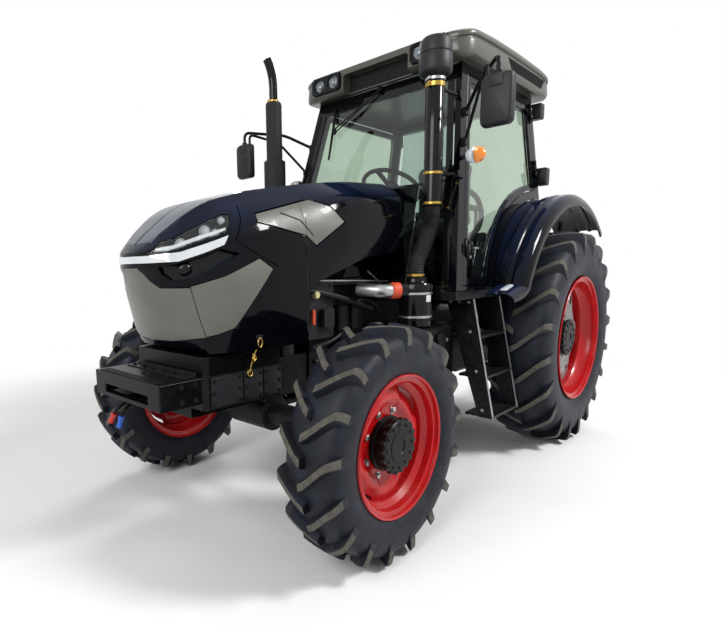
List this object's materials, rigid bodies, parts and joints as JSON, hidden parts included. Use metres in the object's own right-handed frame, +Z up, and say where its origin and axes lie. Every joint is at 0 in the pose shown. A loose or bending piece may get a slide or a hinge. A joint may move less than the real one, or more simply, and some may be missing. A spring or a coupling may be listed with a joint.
{
  "type": "farm tractor",
  "caption": "Four-wheel-drive farm tractor with a glazed cab, black bonnet with grey grille panels, red rims, lugged tyres, stack exhaust and rear three-point lift.",
  "frame": {"origin": "on the ground under the middle of the overall length, on the centre line", "axes": "+X points forward, +Y to the tractor's left, +Z up"},
  "size_m": [4.32, 2.154, 2.7941],
  "materials": {
    "tyre_rubber": "moulded tread rubber, dusty",
    "red_wheel_paint": "gloss red paint",
    "black_gloss_paint": "gloss black paint",
    "black_satin_paint": "satin black paint",
    "black_casting": "black painted casting",
    "plain_steel": "bright drawn rod",
    "grey_panel": "satin warm grey moulding",
    "black_plastic": "grained black moulding",
    "clear_lamp": "clear lamp cover",
    "amber_lamp": "amber lamp cover",
    "bright_trim": "bright plated strip",
    "seat_cloth": "dark woven cover",
    "tinted_glass": "green tinted pane"
  },
  "bodies": {
    "chassis": {"front_axle": "black_casting", "engine_block": "black_casting", "transmission": "black_casting", "rear_axle": "black_casting", "drawbar": "black_satin_paint", "front_frame": "black_satin_paint", "front_bumper": "black_satin_paint", "cowl": "black_gloss_paint", "cab_frame": "black_satin_paint", "cab_base": "black_satin_paint", "cab_roof": "grey_panel", "windscreen": "tinted_glass", "rear_window": "tinted_glass", "seat": "seat_cloth", "dashboard": "black_plastic", "rear_wings": "black_gloss_paint", "side_tanks": "black_satin_paint", "steps": "black_satin_paint", "exhaust_stack": "black_satin_paint", "air_cleaner": "black_plastic", "intake_stack": "black_plastic", "mirrors": "black_plastic", "roof_lamps": "clear_lamp", "signal_lamps": "amber_lamp"},
    "bonnet_assembly": {"bonnet": "black_gloss_paint", "grille_panels": "grey_panel", "vent_panels": "grey_panel", "headlamps": "clear_lamp", "bright_strip": "bright_trim", "bonnet_hinges": "black_satin_paint"},
    "left_door": {"door_left": "black_satin_paint", "door_glass_left": "tinted_glass"},
    "right_door": {"door_right": "black_satin_paint", "door_glass_right": "tinted_glass"},
    "left_knuckle": {"knuckle_left": "black_casting"},
    "right_knuckle": {"knuckle_right": "black_casting"},
    "steering_link": {"track_rod": "plain_steel"},
    "front_left_wheel": {"tyre_front_left": "tyre_rubber", "rim_front_left": "red_wheel_paint", "hub_front_left": "black_satin_paint"},
    "front_right_wheel": {"tyre_front_right": "tyre_rubber", "rim_front_right": "red_wheel_paint", "hub_front_right": "black_satin_paint"},
    "rear_left_wheel": {"tyre_rear_left": "tyre_rubber", "rim_rear_left": "red_wheel_paint", "hub_rear_left": "black_satin_paint"},
    "rear_right_wheel": {"tyre_rear_right": "tyre_rubber", "rim_rear_right": "red_wheel_paint", "hub_rear_right": "black_satin_paint"},
    "hand_wheel": {"steering_wheel": "black_plastic"},
    "lift_arm_pair": {"lift_arms": "black_satin_paint"},
    "lift_rod_pair": {"lift_rods": "black_satin_paint"},
    "lower_link_pair": {"lower_links": "black_satin_paint"}
  },
  "joints": [
    {"name": "steer_left", "type": "hinge", "parent": "chassis", "child": "left_knuckle", "pos_m": [1.34, 0.7, 0.552], "axis": [0, 0, 1], "range_deg": [-40, 40]},
    {"name": "steer_right", "type": "hinge", "parent": "chassis", "child": "right_knuckle", "pos_m": [1.34, -0.7, 0.552], "axis": [0, 0, 1], "range_deg": [-40, 40]},
    {"name": "track_rod_swing", "type": "hinge", "parent": "left_knuckle", "child": "steering_link", "pos_m": [1.15, 0.7, 0.419], "axis": [0, 0, 1], "range_deg": [-40, 40]},
    {"name": "spin_front_left", "type": "hinge", "parent": "left_knuckle", "child": "front_left_wheel", "pos_m": [1.34, 0.85, 0.552], "axis": [0, 1, 0], "continuous": true},
    {"name": "spin_front_right", "type": "hinge", "parent": "right_knuckle", "child": "front_right_wheel", "pos_m": [1.34, -0.85, 0.552], "axis": [0, 1, 0], "continuous": true},
    {"name": "spin_rear_left", "type": "hinge", "parent": "chassis", "child": "rear_left_wheel", "pos_m": [-1.01, 0.82, 0.795], "axis": [0, 1, 0], "continuous": true},
    {"name": "spin_rear_right", "type": "hinge", "parent": "chassis", "child": "rear_right_wheel", "pos_m": [-1.01, -0.82, 0.795], "axis": [0, 1, 0], "continuous": true},
    {"name": "bonnet_lift", "type": "hinge", "parent": "chassis", "child": "bonnet_assembly", "pos_m": [0.472, 0, 1.816], "axis": [0, -1, 0], "range_deg": [0, 50]},
    {"name": "door_left_open", "type": "hinge", "parent": "chassis", "child": "left_door", "pos_m": [-0.94, 0.76888, 1.2018], "axis": [0, -0.1288, 0.9917], "range_deg": [0, 70]},
    {"name": "door_right_open", "type": "hinge", "parent": "chassis", "child": "right_door", "pos_m": [-0.94, -0.76888, 1.2018], "axis": [0, -0.1288, -0.9917], "range_deg": [0, 70]},
    {"name": "hand_wheel_turn", "type": "hinge", "parent": "chassis", "child": "hand_wheel", "pos_m": [0.078, 0, 1.76], "axis": [-0.5, 0, 0.866], "range_deg": [-480, 480]},
    {"name": "lift_raise", "type": "hinge", "parent": "chassis", "child": "lift_arm_pair", "pos_m": [-1.19, 0, 1.068], "axis": [0, 1, 0], "range_deg": [-15, 30]},
    {"name": "lower_link_raise", "type": "hinge", "parent": "chassis", "child": "lower_link_pair", "pos_m": [-1.19, 0, 0.47], "axis": [0, 1, 0], "range_deg": [-15, 30]},
    {"name": "lift_rod_swing", "type": "hinge", "parent": "lift_arm_pair", "child": "lift_rod_pair", "pos_m": [-1.59, 0, 1.068], "axis": [0, 1, 0], "range_deg": [-30, 15]}
  ],
  "couplings": [
    {"joint": "steer_right", "follows": "steer_left", "ratio": 1},
    {"joint": "track_rod_swing", "follows": "steer_left", "ratio": -1},
    {"joint": "hand_wheel_turn", "follows": "steer_left", "ratio": 12},
    {"joint": "lower_link_raise", "follows": "lift_raise", "ratio": 1},
    {"joint": "lift_rod_swing", "follows": "lift_raise", "ratio": -1}
  ]
}
